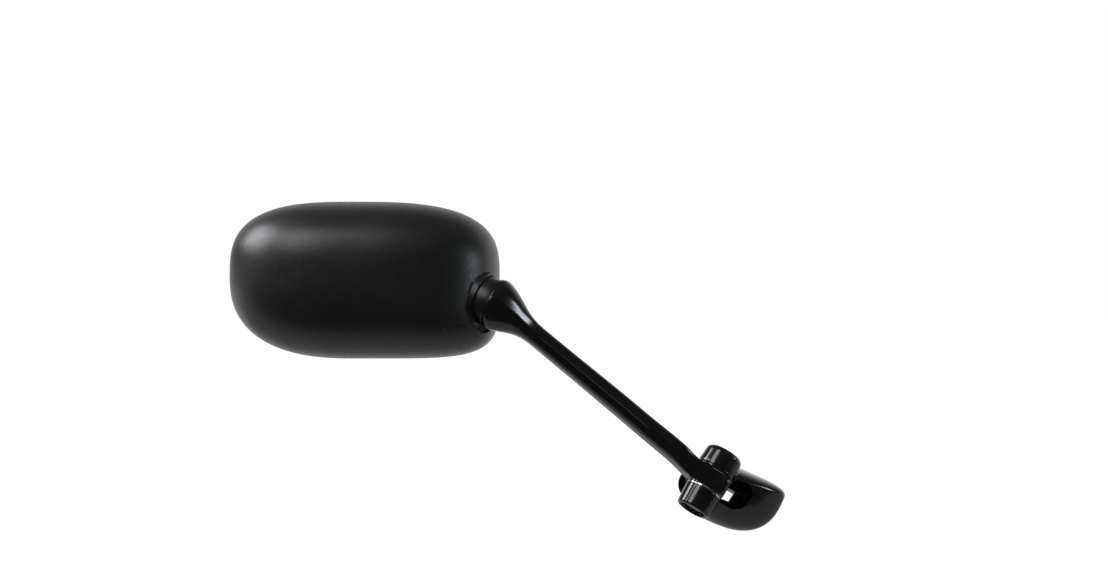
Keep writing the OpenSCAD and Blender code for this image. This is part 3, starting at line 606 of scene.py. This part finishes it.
class MIRROR_OT_pivot(bpy.types.Operator):
    """Model the bright thrust washer and finish the bush."""

    bl_idname = "mirror.pivot"
    bl_label = "Fold Pivot"

    def execute(self, context):
        finish = context.scene.mirror_finish
        washer = skin_of("thrust_washer", "bright_washer")
        apply_modifier(washer, "BEVEL", width=WASHER_EDGE, segments=2, limit_method="ANGLE",
                       angle_limit=math.radians(40))
        smooth_shading(washer, WASHER_SHADING)
        steel = turned_metal("turned_bright_steel", finish.steel_colour, 0.16, PIVOT, FOLD_AXIS)
        finish_piece(washer, steel, "thrust_washer")
        give(metal("bush_brass", (0.68, 0.5, 0.26), 0.3), "hub_bush")
        return {"FINISHED"}


def lamp(name, place, target, size, power, colour):
    """A soft rectangular lamp aimed at a point."""
    bpy.ops.object.light_add(type="AREA", location=place)
    light = bpy.context.object
    light.name = name
    light.data.shape = "RECTANGLE"
    light.data.size, light.data.size_y = size
    light.data.energy = power
    light.data.color = colour
    light.rotation_euler = (Vector(target) - Vector(place)).to_track_quat("-Z", "Y").to_euler()


def ray_share(tree, *kinds):
    """One where the ray is of one of the given kinds."""
    path = tree.nodes.new("ShaderNodeLightPath")
    share = path.outputs[kinds[0]]
    for kind in kinds[1:]:
        share = maths(tree, "MAXIMUM", share, path.outputs[kind])
    return share


def white_floor(name):
    """A pale floor that looks white from the camera, shows in reflections and still takes a shadow."""
    material, tree, bsdf, place = shader(name)
    bsdf.inputs["Base Color"].default_value = (0.85, 0.85, 0.85, 1)
    bsdf.inputs["Roughness"].default_value = 0.9
    white = tree.nodes.new("ShaderNodeEmission")
    seen = maths(tree, "MULTIPLY", ray_share(tree, "Is Camera Ray", "Is Transmission Ray"), FLOOR_WHITE)
    level = tree.nodes.new("ShaderNodeMapRange")
    level.inputs["To Min"].default_value = FLOOR_NEAR
    level.inputs["To Max"].default_value = FLOOR_WHITE
    far = step(tree, place, (0, 1, 0), FLOOR_FAR_FROM - FLOOR_SIZE / 2, FLOOR_FAR_OVER)
    tree.links.new(far, level.inputs["Value"])
    mirrored = maths(tree, "MULTIPLY", ray_share(tree, "Is Glossy Ray"), level.outputs["Result"])
    tree.links.new(maths(tree, "MAXIMUM", seen, mirrored), white.inputs["Strength"])
    blend = tree.nodes.new("ShaderNodeMixShader")
    share = ray_share(tree, "Is Camera Ray", "Is Transmission Ray", "Is Glossy Ray")
    tree.links.new(maths(tree, "MULTIPLY", share, FLOOR_SHARE), blend.inputs["Fac"])
    tree.links.new(bsdf.outputs[0], blend.inputs[1])
    tree.links.new(white.outputs[0], blend.inputs[2])
    tree.links.new(blend.outputs[0], tree.nodes["Material Output"].inputs["Surface"])
    return material


def studio_world(name):
    """A studio: white to the camera and, in reflections, behind the object; dim before it and overhead."""
    world = bpy.data.worlds.new(name)
    world.use_nodes = True
    tree = world.node_tree
    sky = tree.nodes["Background"]
    sky.inputs["Color"].default_value = (1, 1, 1, 1)
    direction = tree.nodes.new("ShaderNodeTexCoord").outputs["Generated"]
    behind = step(tree, direction, BEHIND, BEHIND_FROM, BEHIND_OVER)
    above = step(tree, direction, (0, 0, 1), ABOVE_FROM, ABOVE_OVER)
    mirrored = tree.nodes.new("ShaderNodeMapRange")
    mirrored.inputs["To Min"].default_value = FRONT_LEVEL
    mirrored.inputs["To Max"].default_value = 1
    tree.links.new(behind, mirrored.inputs["Value"])
    strength = mirrored.outputs["Result"]
    for share, other in ((above, CEILING_LEVEL), (ray_share(tree, "Is Diffuse Ray"), DIFFUSE_LEVEL),
                         (ray_share(tree, "Is Camera Ray", "Is Transmission Ray"), 1)):
        node = tree.nodes.new("ShaderNodeMix")
        node.inputs["B"].default_value = other
        tree.links.new(share, node.inputs["Factor"])
        tree.links.new(strength, node.inputs["A"])
        strength = node.outputs["Result"]
    tree.links.new(strength, sky.inputs["Strength"])
    return world


class MIRROR_OT_stage(bpy.types.Operator):
    """Set the pale floor, the soft lamps, the world and the camera."""

    bl_idname = "mirror.stage"
    bl_label = "Stage"

    def execute(self, context):
        stage = context.scene.mirror_stage
        aim = Vector(stage.aim)
        deselect()
        floor_z = CAD_BOX[0].z - stage.floor_drop
        middle = FLOOR_SIZE / 2 - stage.floor_front
        bpy.ops.mesh.primitive_plane_add(size=FLOOR_SIZE, location=(0, middle, floor_z))
        floor = context.object
        floor.name = "floor"
        floor.data.materials.append(white_floor("pale_floor"))
        for name, (target, offset, *light) in LAMPS.items():
            lamp(name, target + Vector(offset), target, *light)
        context.scene.world = studio_world("studio")
        bpy.ops.object.camera_add(location=aim - Vector((0, stage.camera_distance, 0)),
                                  rotation=(math.pi / 2, 0, 0))
        camera = context.object
        camera.data.lens = camera.data.sensor_width * stage.camera_distance / stage.view_width
        context.scene.camera = camera
        context.scene.view_settings.view_transform = "Standard"
        return {"FINISHED"}


class MIRROR_PT_panel(bpy.types.Panel):
    """Lists the sizes, the finishes and the steps that dress the mirror."""

    bl_idname = "MIRROR_PT_panel"
    bl_label = "Folding Mirror"
    bl_space_type = "VIEW_3D"
    bl_region_type = "UI"
    bl_category = "Mirror"

    def draw(self, context):
        column = self.layout.column()
        for group in (context.scene.mirror_sizes, context.scene.mirror_finish, context.scene.mirror_stage):
            for key in group.__annotations__:
                column.prop(group, key)
        for operator in STEPS:
            column.operator(operator.bl_idname)


GROUPS = {"mirror_sizes": MirrorSizes, "mirror_finish": MirrorFinish, "mirror_stage": MirrorStage}
STEPS = (MIRROR_OT_stage, MIRROR_OT_housing, MIRROR_OT_glass, MIRROR_OT_neck, MIRROR_OT_castings,
         MIRROR_OT_pivot)


def register():
    for cls in (*GROUPS.values(), *STEPS, MIRROR_PT_panel):
        bpy.utils.register_class(cls)
    for key, group in GROUPS.items():
        setattr(bpy.types.Scene, key, PointerProperty(type=group))


def unregister():
    for key in GROUPS:
        delattr(bpy.types.Scene, key)
    for cls in reversed((*GROUPS.values(), *STEPS, MIRROR_PT_panel)):
        bpy.utils.unregister_class(cls)


def main():
    register()
    bpy.ops.mirror.stage()
    bpy.ops.mirror.housing()
    bpy.ops.mirror.glass()
    bpy.ops.mirror.neck()
    bpy.ops.mirror.castings()
    bpy.ops.mirror.pivot()


if __name__ == "__main__":
    main()
